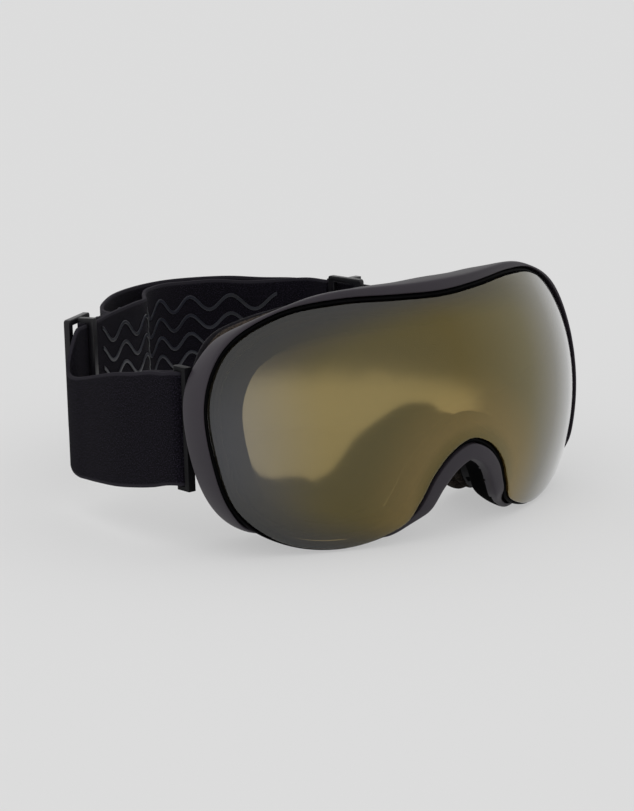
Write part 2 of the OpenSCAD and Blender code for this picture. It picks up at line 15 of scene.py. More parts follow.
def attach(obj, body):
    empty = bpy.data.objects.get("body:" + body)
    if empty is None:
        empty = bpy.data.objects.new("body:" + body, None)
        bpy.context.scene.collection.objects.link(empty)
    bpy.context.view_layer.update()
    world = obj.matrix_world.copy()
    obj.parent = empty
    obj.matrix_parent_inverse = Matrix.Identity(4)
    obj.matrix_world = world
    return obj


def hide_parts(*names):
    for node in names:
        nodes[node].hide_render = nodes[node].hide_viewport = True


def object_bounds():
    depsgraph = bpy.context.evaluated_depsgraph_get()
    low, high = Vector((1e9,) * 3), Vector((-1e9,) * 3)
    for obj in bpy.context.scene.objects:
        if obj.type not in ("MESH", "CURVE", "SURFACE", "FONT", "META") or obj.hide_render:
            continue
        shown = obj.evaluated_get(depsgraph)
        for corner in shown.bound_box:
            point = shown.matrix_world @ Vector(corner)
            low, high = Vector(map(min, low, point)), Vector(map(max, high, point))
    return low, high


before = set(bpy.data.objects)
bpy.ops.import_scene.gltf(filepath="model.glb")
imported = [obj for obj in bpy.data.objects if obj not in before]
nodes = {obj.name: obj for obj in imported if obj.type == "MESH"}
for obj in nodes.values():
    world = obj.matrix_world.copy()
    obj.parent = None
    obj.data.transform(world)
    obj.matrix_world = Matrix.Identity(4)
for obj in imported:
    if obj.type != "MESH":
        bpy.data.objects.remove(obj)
cad_low, cad_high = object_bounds()
MM = 0.001
print("nodes", len(nodes), "box", [round(v, 4) for v in (*cad_low, *cad_high)])

# %% [markdown]
# ## Working by hand, in code
# An operator acts on whatever is selected, and a new primitive comes selected all over. So each step
# starts with nothing selected, picks one object, and then picks faces by where they are or which way
# they look.

# %% Helpers for picking and editing


def pick(piece):
    """Selects one object and nothing else."""
    if bpy.context.mode != "OBJECT":
        bpy.ops.object.mode_set(mode="OBJECT")
    bpy.ops.object.select_all(action="DESELECT")
    piece.select_set(True)
    bpy.context.view_layer.objects.active = piece


def open_mesh(piece, wanted=None):
    """Opens a piece in edit mode with the faces that wanted(face) keeps, or with all of them."""
    pick(piece)
    mesh = piece.data
    chosen = [wanted is None or bool(wanted(face)) for face in mesh.polygons]
    bpy.ops.object.mode_set(mode="EDIT")
    bpy.ops.mesh.select_mode(type="FACE")
    bpy.ops.mesh.select_all(action="DESELECT")
    bpy.ops.object.mode_set(mode="OBJECT")
    mesh.polygons.foreach_set("select", chosen)
    bpy.ops.object.mode_set(mode="EDIT")


def close_mesh():
    bpy.ops.object.mode_set(mode="OBJECT")


print("left selected by loading", len(bpy.context.selected_objects), "objects")

# %% [markdown]
# A modifier is added and applied in one step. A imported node's mesh is loose triangles, which would
# subdivide badly, so a copy is welded and paired into quads first, and the node itself isn't touched. Each
# finished piece is shaded smooth, given its finish, and tied to the body it moves with.

# %% Helpers for finishing a piece
def modify(piece, kind, **settings):
    """Adds a modifier and applies it."""
    pick(piece)
    modifier = piece.modifiers.new(kind, kind)
    for field, value in settings.items():
        setattr(modifier, field, value)
    bpy.ops.object.modifier_apply(modifier=modifier.name)


def finish_piece(piece, body, slot, material, *stands_for, angle=40):
    """Shades a piece, gives it its finish, ties it to its body and hides the CAD nodes it stands for."""
    pick(piece)
    bpy.ops.object.shade_smooth_by_angle(angle=math.radians(angle))
    piece.data.materials.clear()
    piece.data.materials.append(material)
    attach(piece, body)
    if stands_for:
        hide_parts(*stands_for)


def cad_copy(node, name):
    """A copy of a CAD node's mesh, with its loose triangles welded and paired into quads."""
    piece = bpy.data.objects.new(name, nodes[node].data.copy())
    bpy.context.collection.objects.link(piece)
    piece.data.materials.clear()
    open_mesh(piece)
    bpy.ops.mesh.remove_doubles(threshold=0.01 * MM)
    bpy.ops.mesh.tris_convert_to_quads(face_threshold=math.radians(69), shape_threshold=math.radians(115))
    close_mesh()
    bpy.ops.mesh.customdata_custom_splitnormals_clear()
    for name_ in [a.name for a in piece.data.attributes if a.name in ("sharp_edge", "sharp_face")]:
        piece.data.attributes.remove(piece.data.attributes[name_])
    return piece


print("the packed frame is", len(nodes["frame"].data.polygons), "loose triangles")

# %% [markdown]
# ## Finishes
# A finish starts from what the real material is. Colours are written as sRGB hex, as an artist reads
# them, and turned to linear by one function. Patterns are sized in millimetres: object space is in
# metres, so a pattern of one millimetre has a scale of 1000.

# %% Colours and nodes


def colour(code):
    """A linear RGBA colour from an sRGB hex code."""
    parts = [int(code[i:i + 2], 16) / 255 for i in (1, 3, 5)]
    return (*[c / 12.92 if c <= 0.04045 else ((c + 0.055) / 1.055) ** 2.4 for c in parts], 1.0)


def add(tree, kind, inputs=(), **settings):
    """Adds a shader node, sets its fields, and gives its inputs values or links."""
    node = tree.nodes.new("ShaderNode" + kind)
    for field, value in settings.items():
        setattr(node, field, value)
    for name, value in dict(inputs).items():
        if isinstance(value, bpy.types.NodeSocket):
            tree.links.new(value, node.inputs[name])
        else:
            node.inputs[name].default_value = value
    return node


def start_material(name, **surface):
    """A material with one Principled surface, and the tree and surface to build on."""
    material = bpy.data.materials.new(name)
    material.use_nodes = True
    tree = material.node_tree
    principled = tree.nodes["Principled BSDF"]
    for field, value in surface.items():
        principled.inputs[field.replace("_", " ")].default_value = value
    return material, tree, principled


def stops(ramp, *points):
    """Sets a colour ramp's stops, each a place and a hex colour."""
    ramp = ramp.color_ramp
    while len(ramp.elements) < len(points):
        ramp.elements.new(0.5)
    for element, (place, code) in zip(ramp.elements, points):
        element.position = place
        element.color = colour(code)


print("sRGB #808080 is", round(colour("#808080")[0], 3), "in linear light")

# %% [markdown]
# ### Soft-touch frame
# The frame is injection-moulded TPU with a soft-touch paint. The eye gets a matt plum grey with a
# grain so fine that it only breaks the highlights, and a slightly uneven sheen.

# %% Frame finish
def soft_touch_tpu():
    material, tree, surface = start_material("soft touch TPU", Roughness=0.5)
    surface.inputs["Specular IOR Level"].default_value = 0.3
    place = add(tree, "TexCoord")
    cloud = add(tree, "TexNoise", {"Vector": place.outputs["Object"], "Scale": 35.0, "Detail": 3.0})
    tone = add(tree, "ValToRGB", {"Fac": cloud.outputs["Fac"]})
    stops(tone, (0.3, "#2C282E"), (0.7, "#342F36"))
    tree.links.new(tone.outputs["Color"], surface.inputs["Base Color"])
    # 2600 to the metre is a grain of 0.4 mm, coarser than the paint's own so that it shows.
    grain = add(tree, "TexNoise", {"Vector": place.outputs["Object"], "Scale": 2600.0, "Detail": 2.0})
    bump = add(tree, "Bump", {"Height": grain.outputs["Fac"], "Strength": 0.25, "Distance": 0.00006})
    tree.links.new(bump.outputs["Normal"], surface.inputs["Normal"])
    sheen = add(tree, "MapRange", {"Value": cloud.outputs["Fac"], "To Min": 0.44, "To Max": 0.56})
    tree.links.new(sheen.outputs["Result"], surface.inputs["Roughness"])
    return material


frame_finish = soft_touch_tpu()
print("frame finish", frame_finish.name)

# %% [markdown]
# ### Moulded plastics and rubbers
# The other hard and rubbery pieces are moulded too, each in its own material. A moulded skin has two
# near tones where the melt flowed, and a fine grain from the mould's wall. One function makes them all,
# and the tones, the gloss and the grain's size tell them apart.

# %% Moulded finishes
def moulded(name, dark, light, roughness, grain_mm, depth_mm, gloss=0.25, coat=0.0):
    """A moulded plastic or rubber: two near tones and a fine grain of the given size."""
    material, tree, surface = start_material(name, Roughness=roughness)
    surface.inputs["Specular IOR Level"].default_value = gloss
    surface.inputs["Coat Weight"].default_value = coat
    place = add(tree, "TexCoord")
    cloud = add(tree, "TexNoise", {"Vector": place.outputs["Object"], "Scale": 60.0, "Detail": 4.0})
    tone = add(tree, "ValToRGB", {"Fac": cloud.outputs["Fac"]})
    stops(tone, (0.3, dark), (0.7, light))
    tree.links.new(tone.outputs["Color"], surface.inputs["Base Color"])
    grain = add(tree, "TexVoronoi", {"Vector": place.outputs["Object"], "Scale": 1 / (grain_mm * MM)})
    bump = add(tree, "Bump", {"Height": grain.outputs["Distance"], "Strength": 0.35,
                              "Distance": depth_mm * MM})
    tree.links.new(bump.outputs["Normal"], surface.inputs["Normal"])
    return material


# Matt and nearly black, so the flange recedes behind the frame.
flange_finish = moulded("moulded TPE rubber", "#0E0E11", "#141417", 0.62, 0.5, 0.05, gloss=0.15)
# A thin black line round the lens, with almost no highlight.
trim_finish = moulded("silicone trim", "#060607", "#0A0A0C", 0.6, 0.8, 0.02, gloss=0.05)
# Black with a dull, slightly rough skin, as glass fibres leave it.
clip_finish = moulded("glass-filled nylon", "#09090B", "#101013", 0.5, 0.4, 0.04, gloss=0.12)
# Smooth and slippery: the sliders are the shiniest plastic here.
slider_finish = moulded("acetal", "#0E0D11", "#151419", 0.34, 0.6, 0.02, gloss=0.35, coat=0.05)
# A dead black edge between the lenses.
seal_finish = moulded("closed-cell foam", "#070708", "#0D0D0E", 0.9, 0.7, 0.08, gloss=0.05)
# Painted shade: a near-black finish for the faces inside the nose arch, which lie in shadow.
nose_shade_finish = moulded("nose arch painted shade", "#050506", "#0A0A0B", 0.95, 0.5, 0.06, gloss=0.02)
print("moulded finishes", 6)

# %% [markdown]
# ### Lenses
# The outer lens is cast polycarbonate with a thin flash mirror on an amber tint. Part of the light goes
# straight through, coloured by the tint, and part comes back off the coating. The coating is olive in
# the middle and shines silver where the lens curves away. Towards the sides and the edge it turns slate
# grey, partly its own colour and partly painted reflection, and round the nose arch a warm highlight is
# painted into it, standing for the reflection and for what shows through the lens there. So the place on
# the lens and a facing value pick its colour and its share. Light meets both faces of the sheet, so the
# tint and the share are those of one face. The inner lens has an anti-fog coating that takes up water,
# and it blurs what is seen through it a little.

# %% Outer lens finish
# In metres: the oval past which the coating turns slate, how far out the sides start to turn slate, and
# the middle of the nose arch, round which a warm highlight is painted. The slate is partly the coating's
# own colour and partly painted reflection.
EDGE_HALF_W, EDGE_HALF_H = 0.084, 0.040
SIDES_FROM, SIDES_TO = 0.050, 0.084
NOSE_MIDDLE = (0, 0, -0.024)


def flash_mirror():
    material, tree, surface = start_material("flash mirror polycarbonate", Metallic=1.0, Roughness=0.1)
    facing = add(tree, "LayerWeight", {"Blend": 0.5})
    tone = add(tree, "ValToRGB", {"Fac": facing.outputs["Facing"]})
    stops(tone, (0.0, "#858166"), (0.25, "#8B8057"), (0.5, "#918B6E"), (0.68, "#96948A"), (0.82, "#B4B4B2"),
          (0.95, "#E6E6E6"))
    place = add(tree, "TexCoord")
    oval = add(tree, "VectorMath", {0: place.outputs["Object"], 1: (1 / EDGE_HALF_W, 0, 1 / EDGE_HALF_H)},
               operation="MULTIPLY")
    reach = add(tree, "VectorMath", {0: oval.outputs["Vector"]}, operation="LENGTH")
    # Towards the edge the coating turns slate: partly its own colour, partly painted reflection.
    toward_edge = add(tree, "MapRange", {"Value": reach.outputs["Value"], "From Min": 0.82, "From Max": 1.14},
                  interpolation_type="SMOOTHSTEP")
    square_on = add(tree, "MapRange", {"Value": facing.outputs["Facing"], "From Min": 0.3, "From Max": 0.7,
                                       "To Min": 1.0, "To Max": 0.0})
    # A warm highlight round the nose arch is painted into the coating's colour. It stands for the reflection
    # and for what shows through the lens there.
    nose = add(tree, "VectorMath", {0: place.outputs["Object"], 1: NOSE_MIDDLE}, operation="SUBTRACT")
    nose_flat = add(tree, "VectorMath", {0: nose.outputs["Vector"], 1: (1, 0, 1)}, operation="MULTIPLY")
    nose_reach = add(tree, "VectorMath", {0: nose_flat.outputs["Vector"]}, operation="LENGTH")
    nose_highlight = add(tree, "ValToRGB", {"Fac": nose_reach.outputs["Value"]})
    stops(nose_highlight, (0.018, "#000000"), (0.023, "#CCCCCC"), (0.029, "#B0B0B0"), (0.041, "#000000"))
    warm = add(tree, "Mix", {0: nose_highlight.outputs["Color"], 6: tone.outputs["Color"], 7: colour("#B29D70")},
               data_type="RGBA")
    parts = add(tree, "SeparateXYZ", {"Vector": place.outputs["Object"]})
    sideways = add(tree, "Math", {0: parts.outputs["X"]}, operation="ABSOLUTE")
    sides = add(tree, "MapRange", {"Value": sideways.outputs["Value"], "From Min": SIDES_FROM,
                                   "From Max": SIDES_TO}, interpolation_type="SMOOTHSTEP")
    # Towards the sides, where the lens is seen square on, the coating turns slate: partly its own colour,
    # partly painted reflection.
    side_slate_and_reflection = add(tree, "Math", {0: sides.outputs["Result"], 1: square_on.outputs["Result"]},
               operation="MULTIPLY")
    with_side_slate_and_reflection = add(tree, "Mix", {0: side_slate_and_reflection.outputs["Value"], 6: warm.outputs[2], 7: colour("#7F828C")},
                 data_type="RGBA")
    slate = add(tree, "Math", {0: toward_edge.outputs["Result"], 1: square_on.outputs["Result"]},
                operation="MULTIPLY")
    coating = add(tree, "Mix", {0: slate.outputs["Value"], 6: with_side_slate_and_reflection.outputs[2], 7: colour("#6A6C6F")},
                  data_type="RGBA")
    tree.links.new(coating.outputs[2], surface.inputs["Base Color"])
    glass = add(tree, "Mix", {0: sides.outputs["Result"], 6: colour("#EADBB2"), 7: colour("#E8E0CC")},
                data_type="RGBA")
    tint = add(tree, "BsdfTransparent", {"Color": glass.outputs[2]})
    share = add(tree, "ValToRGB", {"Fac": facing.outputs["Facing"]})
    stops(share, (0.0, "#A4A4A4"), (0.25, "#B2B2B2"), (0.5, "#CBCBCB"), (0.75, "#F0F0F0"), (0.9, "#FCFCFC"))
    both = add(tree, "MixShader", {"Fac": share.outputs["Color"]})
    tree.links.new(tint.outputs["BSDF"], both.inputs[1])
    tree.links.new(surface.outputs["BSDF"], both.inputs[2])
    tree.links.new(both.outputs["Shader"], tree.nodes["Material Output"].inputs["Surface"])
    return material


outer_lens_finish = flash_mirror()
print("outer lens finish", outer_lens_finish.name)

# %% [markdown]
# The inner lens is a clear sheet with a slight haze. It is drawn as rough transmission, which a glass
# shader gives without any pattern.

# %% Inner lens finish
def coated_acetate():
    material, _, surface = start_material("anti-fog cellulose acetate", Roughness=0.2, IOR=1.4)
    surface.inputs["Base Color"].default_value = colour("#FBFBF8")
    surface.inputs["Transmission Weight"].default_value = 1.0
    return material


inner_lens_finish = coated_acetate()
print("inner lens finish", inner_lens_finish.name)

# %% [markdown]
# ### Foam and fleece
# Face foam is open-cell polyurethane: a mass of tiny round pores. The fleece on top is a short brushed
# pile. Pores are drawn with Voronoi cells, larger than real ones so that they show, and the pile with
# fine noise under a soft sheen. The eye gets a dark, speckled edge that swallows light.

# %% Foam finishes
def open_cell(name, dark, light, cell_mm):
    material, tree, surface = start_material(name, Roughness=0.95)
    surface.inputs["Specular IOR Level"].default_value = 0.1
    place = add(tree, "TexCoord")
    cells = add(tree, "TexVoronoi", {"Vector": place.outputs["Object"], "Scale": 1 / (cell_mm * MM)})
    # 700 to the metre is a fleck of 1.4 mm, over a few pores.
    fleck = add(tree, "TexNoise", {"Vector": place.outputs["Object"], "Scale": 700.0, "Detail": 4.0})
    mix = add(tree, "Math", {0: cells.outputs["Distance"], 1: fleck.outputs["Fac"]}, operation="MULTIPLY")
    tone = add(tree, "ValToRGB", {"Fac": mix.outputs["Value"]})
    stops(tone, (0.1, light), (0.42, dark))
    tree.links.new(tone.outputs["Color"], surface.inputs["Base Color"])
    bump = add(tree, "Bump", {"Height": cells.outputs["Distance"], "Strength": 0.7, "Distance": 0.0003},
               invert=True)
    tree.links.new(bump.outputs["Normal"], surface.inputs["Normal"])
    return material


def brushed_fleece():
    material, tree, surface = start_material("brushed polyester fleece", Roughness=1.0)
    surface.inputs["Specular IOR Level"].default_value = 0.1
    surface.inputs["Sheen Weight"].default_value = 0.12
    surface.inputs["Sheen Roughness"].default_value = 0.5
    place = add(tree, "TexCoord")
    # 1500 to the metre is a tuft of 0.7 mm.
    pile = add(tree, "TexNoise", {"Vector": place.outputs["Object"], "Scale": 1500.0, "Detail": 5.0,
                                  "Roughness": 0.7})
    tone = add(tree, "ValToRGB", {"Fac": pile.outputs["Fac"]})
    stops(tone, (0.3, "#131214"), (0.7, "#27252A"))
    tree.links.new(tone.outputs["Color"], surface.inputs["Base Color"])
    bump = add(tree, "Bump", {"Height": pile.outputs["Fac"], "Strength": 0.8, "Distance": 0.0004})
    tree.links.new(bump.outputs["Normal"], surface.inputs["Normal"])
    return material


firm_foam_finish = open_cell("firm polyurethane foam", "#151210", "#3E362F", 0.8)
soft_foam_finish = open_cell("soft polyurethane foam", "#181513", "#443B34", 0.7)
vent_foam_finish = open_cell("reticulated vent foam", "#060606", "#252527", 1.1)
fleece_finish = brushed_fleece()
print("foam finishes", 4)

# %% [markdown]
# ### Elastic webbing
# The strap is woven elastic: fine warp ribs run along it, weft picks cross them, and each edge has a
# firmer selvedge. The pattern follows the strap through its UV map, which is laid out in millimetres:
# U along the strap and V across it. The threads are twisted from black and purple-grey yarn, so the
# cloth looks finely flecked. The ribs only show in the relief. Real ribs are about 0.5 mm apart, under the
# picture's resolution, so they are drawn a little coarser, and the flecks too.

# %% Webbing, thread and silicone finishes
WARP_MM = 0.7
WEFT_MM = 0.9
SELVEDGE_MM = 19.1


def woven_elastic():
    material, tree, surface = start_material("woven elastic webbing", Roughness=0.95)
    surface.inputs["Specular IOR Level"].default_value = 0.06
    surface.inputs["Sheen Weight"].default_value = 0.02
    surface.inputs["Sheen Roughness"].default_value = 0.4
    cloth = add(tree, "UVMap", uv_map="cloth")
    split = add(tree, "SeparateXYZ", {"Vector": cloth.outputs["UV"]})
    weft = add(tree, "Math", {0: split.outputs["X"], 1: 2 * math.pi / WEFT_MM}, operation="MULTIPLY")
    warp = add(tree, "Math", {0: split.outputs["Y"], 1: math.pi / WARP_MM}, operation="MULTIPLY")
    weft_wave = add(tree, "Math", {0: weft.outputs["Value"]}, operation="SINE")
    warp_wave = add(tree, "Math", {0: warp.outputs["Value"]}, operation="SINE")
    weave = add(tree, "Math", {0: weft_wave.outputs["Value"], 1: warp_wave.outputs["Value"]},
                operation="MULTIPLY")
    # The UV map is in millimetres, so 2.4 is a fleck of 0.4 mm.
    fleck = add(tree, "TexNoise", {"Vector": cloth.outputs["UV"], "Scale": 2.4, "Detail": 3.0,
                                   "Roughness": 0.7})
    tone = add(tree, "ValToRGB", {"Fac": fleck.outputs["Fac"]})
    stops(tone, (0.38, "#050408"), (0.53, "#0F0E13"), (0.68, "#332E3C"))
    height = add(tree, "Math", {0: weave.outputs["Value"], 1: 0.3, 2: fleck.outputs["Fac"]},
                 operation="MULTIPLY_ADD")
    across = add(tree, "Math", {0: split.outputs["Y"]}, operation="ABSOLUTE")
    edge = add(tree, "MapRange", {"Value": across.outputs["Value"], "From Min": SELVEDGE_MM - 0.5,
                                  "From Max": SELVEDGE_MM})
    cloth_tone = add(tree, "Mix", {0: edge.outputs["Result"], 6: tone.outputs["Color"], 7: colour("#28262C")},
                     data_type="RGBA")
    tree.links.new(cloth_tone.outputs[2], surface.inputs["Base Color"])
    bump = add(tree, "Bump", {"Height": height.outputs["Value"], "Strength": 0.5, "Distance": 0.0002})
    tree.links.new(bump.outputs["Normal"], surface.inputs["Normal"])
    return material


webbing_finish = woven_elastic()
# A shade lighter than the cloth, so that the stitches can be counted.
thread_finish = moulded("bonded polyester thread", "#2E2D35", "#3C3B44", 0.6, 0.3, 0.06)
# A smooth blue-grey bead that takes a soft highlight.
silicone_finish = moulded("printed silicone", "#191B23", "#22242E", 0.3, 0.9, 0.01, gloss=0.5)
print("cloth finishes", webbing_finish.name, thread_finish.name, silicone_finish.name)

# %% [markdown]
# ## The lens's surface and outline
# The lens is part of a barrel: an arc of 85 mm radius, from top to bottom, carried round a vertical
# axis at 116.7 mm. Its outline is a smooth curve through 15 points on each half. Both are written once
# here, in millimetres, and every lens takes its shape from them.

# %% Lens surface and outline
HALF_W, TOP, BOTTOM, RISE = 84.0, 42.0, 38.6, 1.2
NOSE_W, NOSE_TOP = 19.7, 6.3
FRONT, ROUND_H, ROUND_V, MID_Z = 44.0, 116.7, 85.0, -4.5


def smooth(a, b, c, d, t):
    """A point on the Catmull-Rom curve between b and c."""
    return 0.5 * (2 * b + (c - a) * t + (2 * a - 5 * b + 4 * c - d) * t**2 + (3 * b - a - 3 * c + d) * t**3)


def lens_y(x, z):
    reach = ROUND_H - ROUND_V + np.sqrt(ROUND_V**2 - (z - MID_Z) ** 2)
    return ROUND_H - FRONT - np.sqrt(reach**2 - x**2)


half_outline = np.array([
    (0, TOP), (0.23 * HALF_W, TOP + 0.6 * RISE), (0.46 * HALF_W, TOP + RISE), (0.687 * HALF_W, TOP - 1.6),
    (0.885 * HALF_W, 0.735 * TOP), (0.988 * HALF_W, 0.345 * TOP), (0.988 * HALF_W, -0.13 * BOTTOM),
    (0.916 * HALF_W, -0.606 * BOTTOM), (0.739 * HALF_W, -0.912 * BOTTOM), (0.515 * HALF_W, -BOTTOM),
    (NOSE_W + 5.8, -0.87 * BOTTOM), (NOSE_W, -0.655 * BOTTOM),
    (0.787 * NOSE_W, -NOSE_TOP - 0.32 * (BOTTOM - NOSE_TOP)),
    (0.452 * NOSE_W, -NOSE_TOP - 0.105 * (BOTTOM - NOSE_TOP)), (0, -NOSE_TOP),
])
outline_keys = np.concatenate([half_outline, half_outline[-2:0:-1] * (-1, 1)])
FINE = 24
outline = np.array([
    smooth(*[outline_keys[(k + o) % len(outline_keys)] for o in (-1, 0, 1, 2)], j / FINE)
    for k in range(len(outline_keys)) for j in range(FINE)])


def eased_values(half):
    """A value for every outline point, eased between keys that are mirrored from one half."""
    keys = np.array([*half, *half[-2:0:-1]], float)
    t = np.arange(FINE) / FINE
    return (keys[:, None] + (np.roll(keys, -1) - keys)[:, None] * t**2 * (3 - 2 * t)).ravel()


def moved_outline(out):
    """The outline moved outwards by out, in millimetres: one number, or one for every point."""
    along = np.roll(outline, -1, 0) - np.roll(outline, 1, 0)
    along /= np.linalg.norm(along, axis=1)[:, None]
    return outline + np.reshape(out, (-1, 1)) * np.column_stack([-along[:, 1], along[:, 0]])


print("outline points", len(outline), "height", round(float(np.ptp(outline[:, 1])), 2), "mm")

# %% [markdown]
# ## The two lenses
# A lens could be cut from a ball, but the cut leaves ragged shading along its edge. Instead a grid is
# added, and each column is stretched between the top and the bottom of the outline and set on the
# barrel. Extruding it back by the sheet's thickness makes it solid, and a small bevel breaks its rim.

# %% Build a lens
COLUMNS, ROWS = 220, 44


def lens_sheet(name, out, behind, thick):
    """A curved sheet: its edge moved out from the outline, its face behind the front, and its thickness."""
    edge = moved_outline(out)
    half = len(edge) // 2
    tip = int(np.argmax(edge[:half, 0]))
    upper = np.concatenate([edge[-tip:], edge[:tip + 1]])
    lower = edge[tip:len(edge) - tip + 1][::-1]
    bpy.ops.mesh.primitive_grid_add(x_subdivisions=COLUMNS, y_subdivisions=ROWS, size=2)
    lens = bpy.context.object
    lens.name = name
    spots = np.array([v.co[:] for v in lens.data.vertices])
    x = edge[tip, 0] * np.sin(spots[:, 0] * math.pi / 2)
    top = np.interp(x, upper[:, 0], upper[:, 1])
    low = np.interp(x, lower[:, 0], lower[:, 1])
    z = low + (top - low) * (spots[:, 1] + 1) / 2
    placed = np.column_stack([x, lens_y(x, z) + behind, z]) * MM
    lens.data.vertices.foreach_set("co", placed.ravel())
    open_mesh(lens)
    bpy.ops.mesh.remove_doubles(threshold=0.02 * MM)
    bpy.ops.mesh.extrude_region_move(TRANSFORM_OT_translate={"value": (0, thick * MM, 0)})
    bpy.ops.mesh.select_all(action="SELECT")
    bpy.ops.mesh.normals_make_consistent(inside=False)
    bpy.ops.mesh.select_mode(type="EDGE")
    bpy.ops.mesh.select_all(action="DESELECT")
    bpy.ops.mesh.edges_select_sharp(sharpness=math.radians(55))
    bpy.ops.mesh.bevel(offset=0.22 * MM, segments=2)
    close_mesh()
    print(name, "faces", len(lens.data.polygons))
    return lens


# 1 where the frame wraps the lens's edge, 0 where it is tucked behind the lens beside the nose
wrap = eased_values([1, 1, 1, 1, 1, 1, 1, 1, 0, 0, 0.7, 1, 1, 1, 1])
OUTER_T, OUTER_GAP, WRAP_GAP = 1.3, 0.15, 0.5
INNER_T, INNER_OUT, INNER_BEHIND = 0.9, -5.2, 5.5
outer_lens = lens_sheet("outer_lens", -(OUTER_GAP + WRAP_GAP * wrap), 0.0, OUTER_T)
finish_piece(outer_lens, "goggles", "lens_mirror", outer_lens_finish, "lens_outer")
inner_lens = lens_sheet("inner_lens", INNER_OUT, INNER_BEHIND, INNER_T)
finish_piece(inner_lens, "goggles", "lens_clear", inner_lens_finish, "lens_inner")

# %% [markdown]
# ## Frame, trim and seal
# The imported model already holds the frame's section, swept round the lens in flat facets. A copy of it
# is welded into quads and subdivided, which rounds the section as moulding does. That keeps the frame
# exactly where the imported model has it. The trim sits a hair behind the lens's face, so that the lens
# stands proud of it.

# %% Frame, trim and seal
TRIM_BACK = 0.7
frame_shell = cad_copy("frame", "frame_shell")
modify(frame_shell, "SUBSURF", levels=2, render_levels=2)
finish_piece(frame_shell, "goggles", "frame_shell", frame_finish, "frame")

lens_trim = cad_copy("lens_gasket", "lens_trim")
open_mesh(lens_trim)
bpy.ops.transform.translate(value=(0, TRIM_BACK * MM, 0))
close_mesh()
modify(lens_trim, "SUBSURF", levels=1, render_levels=1)
finish_piece(lens_trim, "goggles", "trim_rubber", trim_finish, "lens_gasket")
lens_seal = cad_copy("lens_spacer", "lens_seal")
modify(lens_seal, "BEVEL", width=0.4 * MM, segments=2, limit_method="ANGLE")
finish_piece(lens_seal, "goggles", "seal_foam", seal_finish, "lens_spacer")
print("frame faces", len(frame_shell.data.polygons))

# %% [markdown]
# ## Painted shade in the nose arch
# Inside the nose arch the goggles rest on the skin, and the frame and flange there lie in shade. That
# shade is painted: the faces in it get a near-black finish, and they are found by their place in the arch,
# behind the lens and not facing forwards.

# %% Painted shade in the nose arch
ARCH_HALF_W, ARCH_TOP, BEHIND_LENS, FORWARD = 23, -5, 3.5, -0.4


# Painted shade: faces in the nose arch, behind the lens and not facing forwards, get a near-black finish.
def paint_nose_shade(piece):
    piece.data.materials.append(nose_shade_finish)
    for face in piece.data.polygons:
        x, y, z = face.center / MM
        in_arch = abs(x) < ARCH_HALF_W and z < ARCH_TOP and y - lens_y(x, z) > BEHIND_LENS
        if in_arch and face.normal.y > FORWARD:
            face.material_index = 1
    print(piece.name, "painted_shade faces", sum(face.material_index for face in piece.data.polygons))


paint_nose_shade(frame_shell)

# %% [markdown]
# ## Flange with vent windows
# The flange is moulded in soft rubber, and windows in its top and bottom let air through to the vent
# foam. By hand, a window is a few neighbouring faces that are inset and pushed in. The faces are
# found by where they are and by their looking outwards.

# %% Flange
WINDOWS_TOP = [-48, -32, -16, 0, 16, 32, 48]
WINDOWS_LOW = [-52, -38, 38, 52]
WINDOW_HALF_W, WINDOW_MIN_Z, WINDOW_MIN_AREA, OUTWARDS = 5.2, 24, 12, 0.55


def in_window(face, middle, side):
    """True for a face of the window round x = middle, at the top (side 1) or the bottom (side -1)."""
    x, _, z = face.center / MM
    return (abs(x - middle) < WINDOW_HALF_W and z * side > WINDOW_MIN_Z and face.normal.z * side > OUTWARDS
            and face.area > WINDOW_MIN_AREA * MM**2)


flange = cad_copy("flange", "flange_moulding")
for side, windows in ((1, WINDOWS_TOP), (-1, WINDOWS_LOW)):
    for middle in windows:
        open_mesh(flange, lambda face: in_window(face, middle, side))
        bpy.ops.mesh.inset(thickness=1.1 * MM, depth=0)
        bpy.ops.mesh.inset(thickness=0.5 * MM, depth=-0.9 * MM)
        close_mesh()
modify(flange, "SUBSURF", levels=1, render_levels=1)
finish_piece(flange, "goggles", "flange_rubber", flange_finish, "flange")
paint_nose_shade(flange)
print("flange faces", len(flange.data.polygons))

# %% [markdown]
# ## Vent foam and face foam
# Foam has soft, slightly uneven edges. Copies of the imported rings are subdivided and then displaced a
# little by a cloud pattern, so no edge is dead straight. The layers are laminated to each other, so each
# also swells a little to meet its neighbour.

# %% Foam pieces
unevenness = bpy.data.textures.new("foam unevenness", "CLOUDS")
unevenness.noise_scale = 0.006


def foam_piece(node, name, slot, finish, uneven_mm, swell_mm=0.0, levels=2):
    piece = cad_copy(node, name)
    modify(piece, "SUBSURF", levels=levels, render_levels=levels)
    modify(piece, "DISPLACE", texture=unevenness, strength=uneven_mm * MM,
           mid_level=0.5 - swell_mm / uneven_mm)
    finish_piece(piece, "goggles", slot, finish, node, angle=70)
    print(name, "faces", len(piece.data.polygons))


foam_piece("vent_foam_top", "vent_strip_top", "vent_foam", vent_foam_finish, 0.15, levels=1)
foam_piece("vent_foam_bottom_right", "vent_strip_low_right", "vent_foam", vent_foam_finish, 0.15, levels=1)
foam_piece("vent_foam_bottom_left", "vent_strip_low_left", "vent_foam", vent_foam_finish, 0.15, levels=1)
foam_piece("foam_base", "firm_foam_ring", "foam_firm", firm_foam_finish, 0.3, swell_mm=0.15)
foam_piece("foam_soft", "soft_foam_ring", "foam_soft", soft_foam_finish, 0.4, swell_mm=0.3)
foam_piece("foam_fleece", "fleece_ring", "fleece", fleece_finish, 0.25, swell_mm=0.15)

# %% [markdown]
# ## Clips and sliders
# The clips and sliders are small mouldings with flat faces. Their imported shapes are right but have
# knife edges, so each copy has its flat faces joined up again and its edges rounded.

